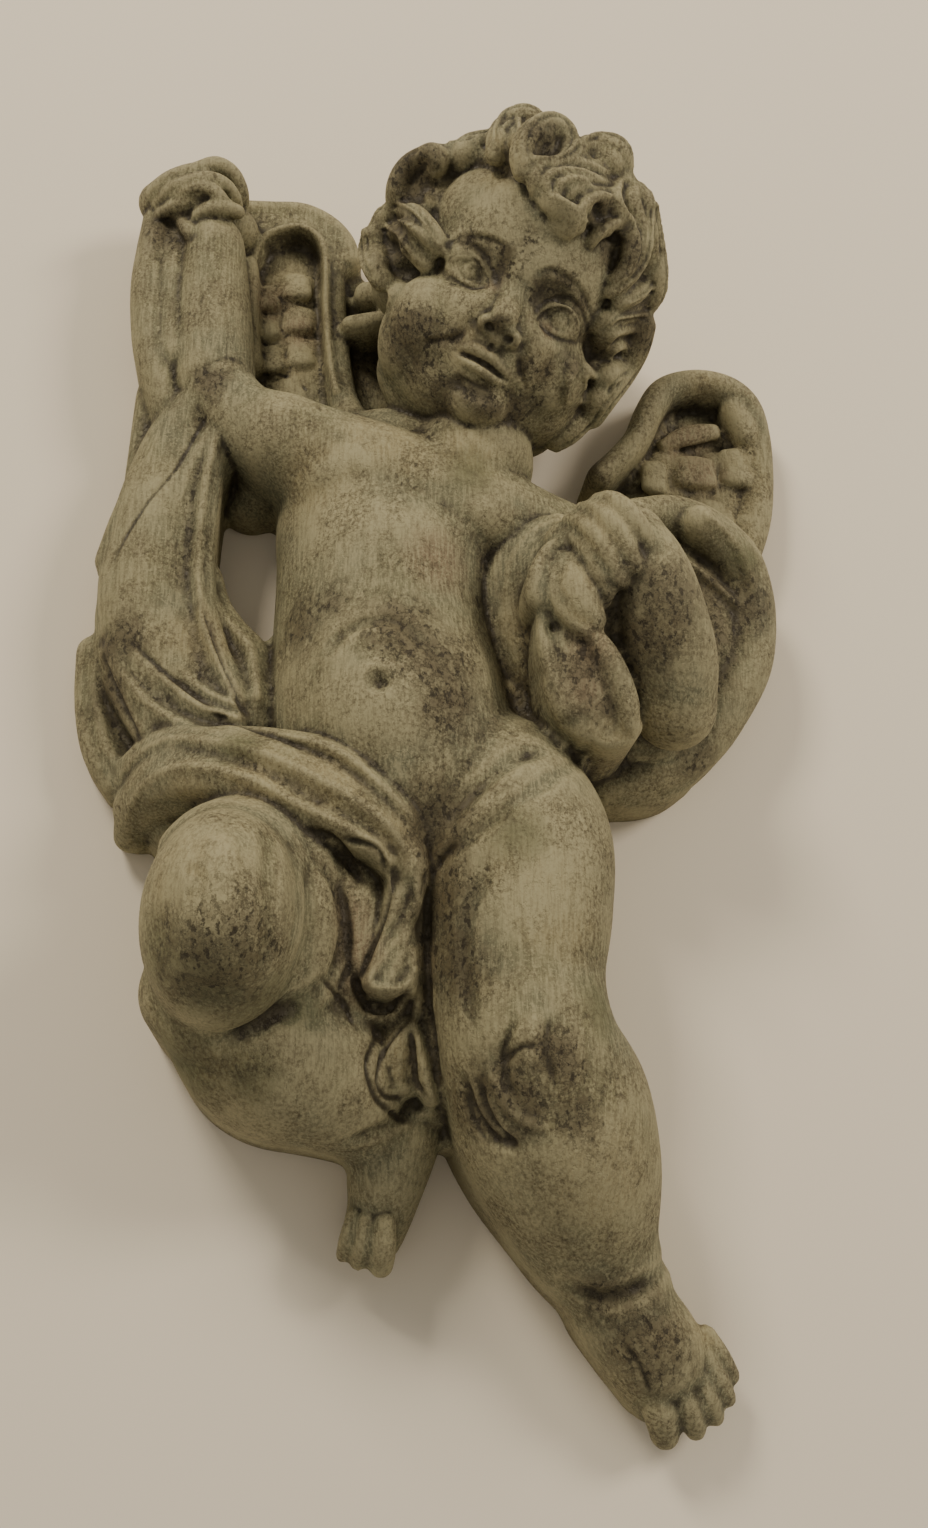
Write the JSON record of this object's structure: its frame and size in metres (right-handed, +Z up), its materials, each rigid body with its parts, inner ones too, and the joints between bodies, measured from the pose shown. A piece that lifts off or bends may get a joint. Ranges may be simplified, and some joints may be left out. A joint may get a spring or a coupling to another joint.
{
  "type": "cherub wall plaque",
  "caption": "Cast cherub wall plaque with wings and drapery, painted in a weathered verdigris green.",
  "frame": {"origin": "on the flat back, behind the upper chest, where the plaque meets the wall", "axes": "+Z up along the figure's height, +Y into the wall, +X to the right for someone facing the wall"},
  "size_m": [0.1436, 0.058, 0.2534],
  "materials": {
    "patina": "matte"
  },
  "bodies": {
    "root": {"cherub": "patina"}
  },
  "joints": []
}
